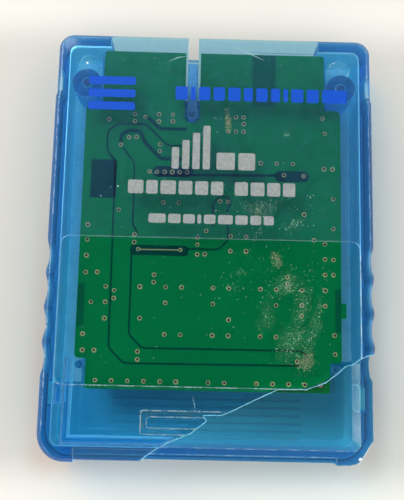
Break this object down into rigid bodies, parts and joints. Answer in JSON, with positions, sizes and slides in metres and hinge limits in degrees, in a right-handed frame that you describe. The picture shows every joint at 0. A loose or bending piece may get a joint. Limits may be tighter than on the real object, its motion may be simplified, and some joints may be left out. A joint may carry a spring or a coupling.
{
  "type": "memory card",
  "caption": "Flat plug-in memory card: clear blue shell in two halves round a green board with edge contacts; scalloped grips, front shell's lower corner broken off.",
  "frame": {"origin": "centre of the card's outline, on the back face that it lies on", "axes": "+Z out of the label side, +Y towards the connector end, +X to the right as seen from the label side"},
  "size_m": [0.042, 0.0556, 0.0078],
  "materials": {
    "back_plastic": "clear blue tint, moulded gloss with fine handling marks",
    "front_plastic": "clear blue tint, scuffed gloss with a rough pale break",
    "board": "green solder mask over copper, semi-gloss",
    "chip_resin": "black moulding resin",
    "tinned_pins": "tinned",
    "crystal_can": "nickel-plated can",
    "capacitor_resin": "amber resin",
    "contact_gold": "gold plated",
    "capacitor_ceramic": "ceramic with tinned ends",
    "resistor_film": "glazed film with tinned ends"
  },
  "bodies": {
    "root": {"back_shell": "back_plastic", "front_shell": "front_plastic", "circuit_board": "board", "controller_chip": "chip_resin", "controller_pins_set": "tinned_pins", "memory_chip": "chip_resin", "memory_pins_set": "tinned_pins", "crystal": "crystal_can", "bulk_capacitor": "capacitor_resin", "reset_chip": "chip_resin", "contact_1": "contact_gold", "contact_2": "contact_gold", "contact_3": "contact_gold", "contact_4": "contact_gold", "contact_5": "contact_gold", "contact_6": "contact_gold", "contact_7": "contact_gold", "contact_8": "contact_gold", "capacitor_1": "capacitor_ceramic", "capacitor_2": "capacitor_ceramic", "capacitor_3": "capacitor_ceramic", "capacitor_4": "capacitor_ceramic", "capacitor_5": "capacitor_ceramic", "capacitor_6": "capacitor_ceramic", "resistor_1": "resistor_film", "resistor_2": "resistor_film", "resistor_3": "resistor_film", "resistor_4": "resistor_film"}
  },
  "joints": []
}
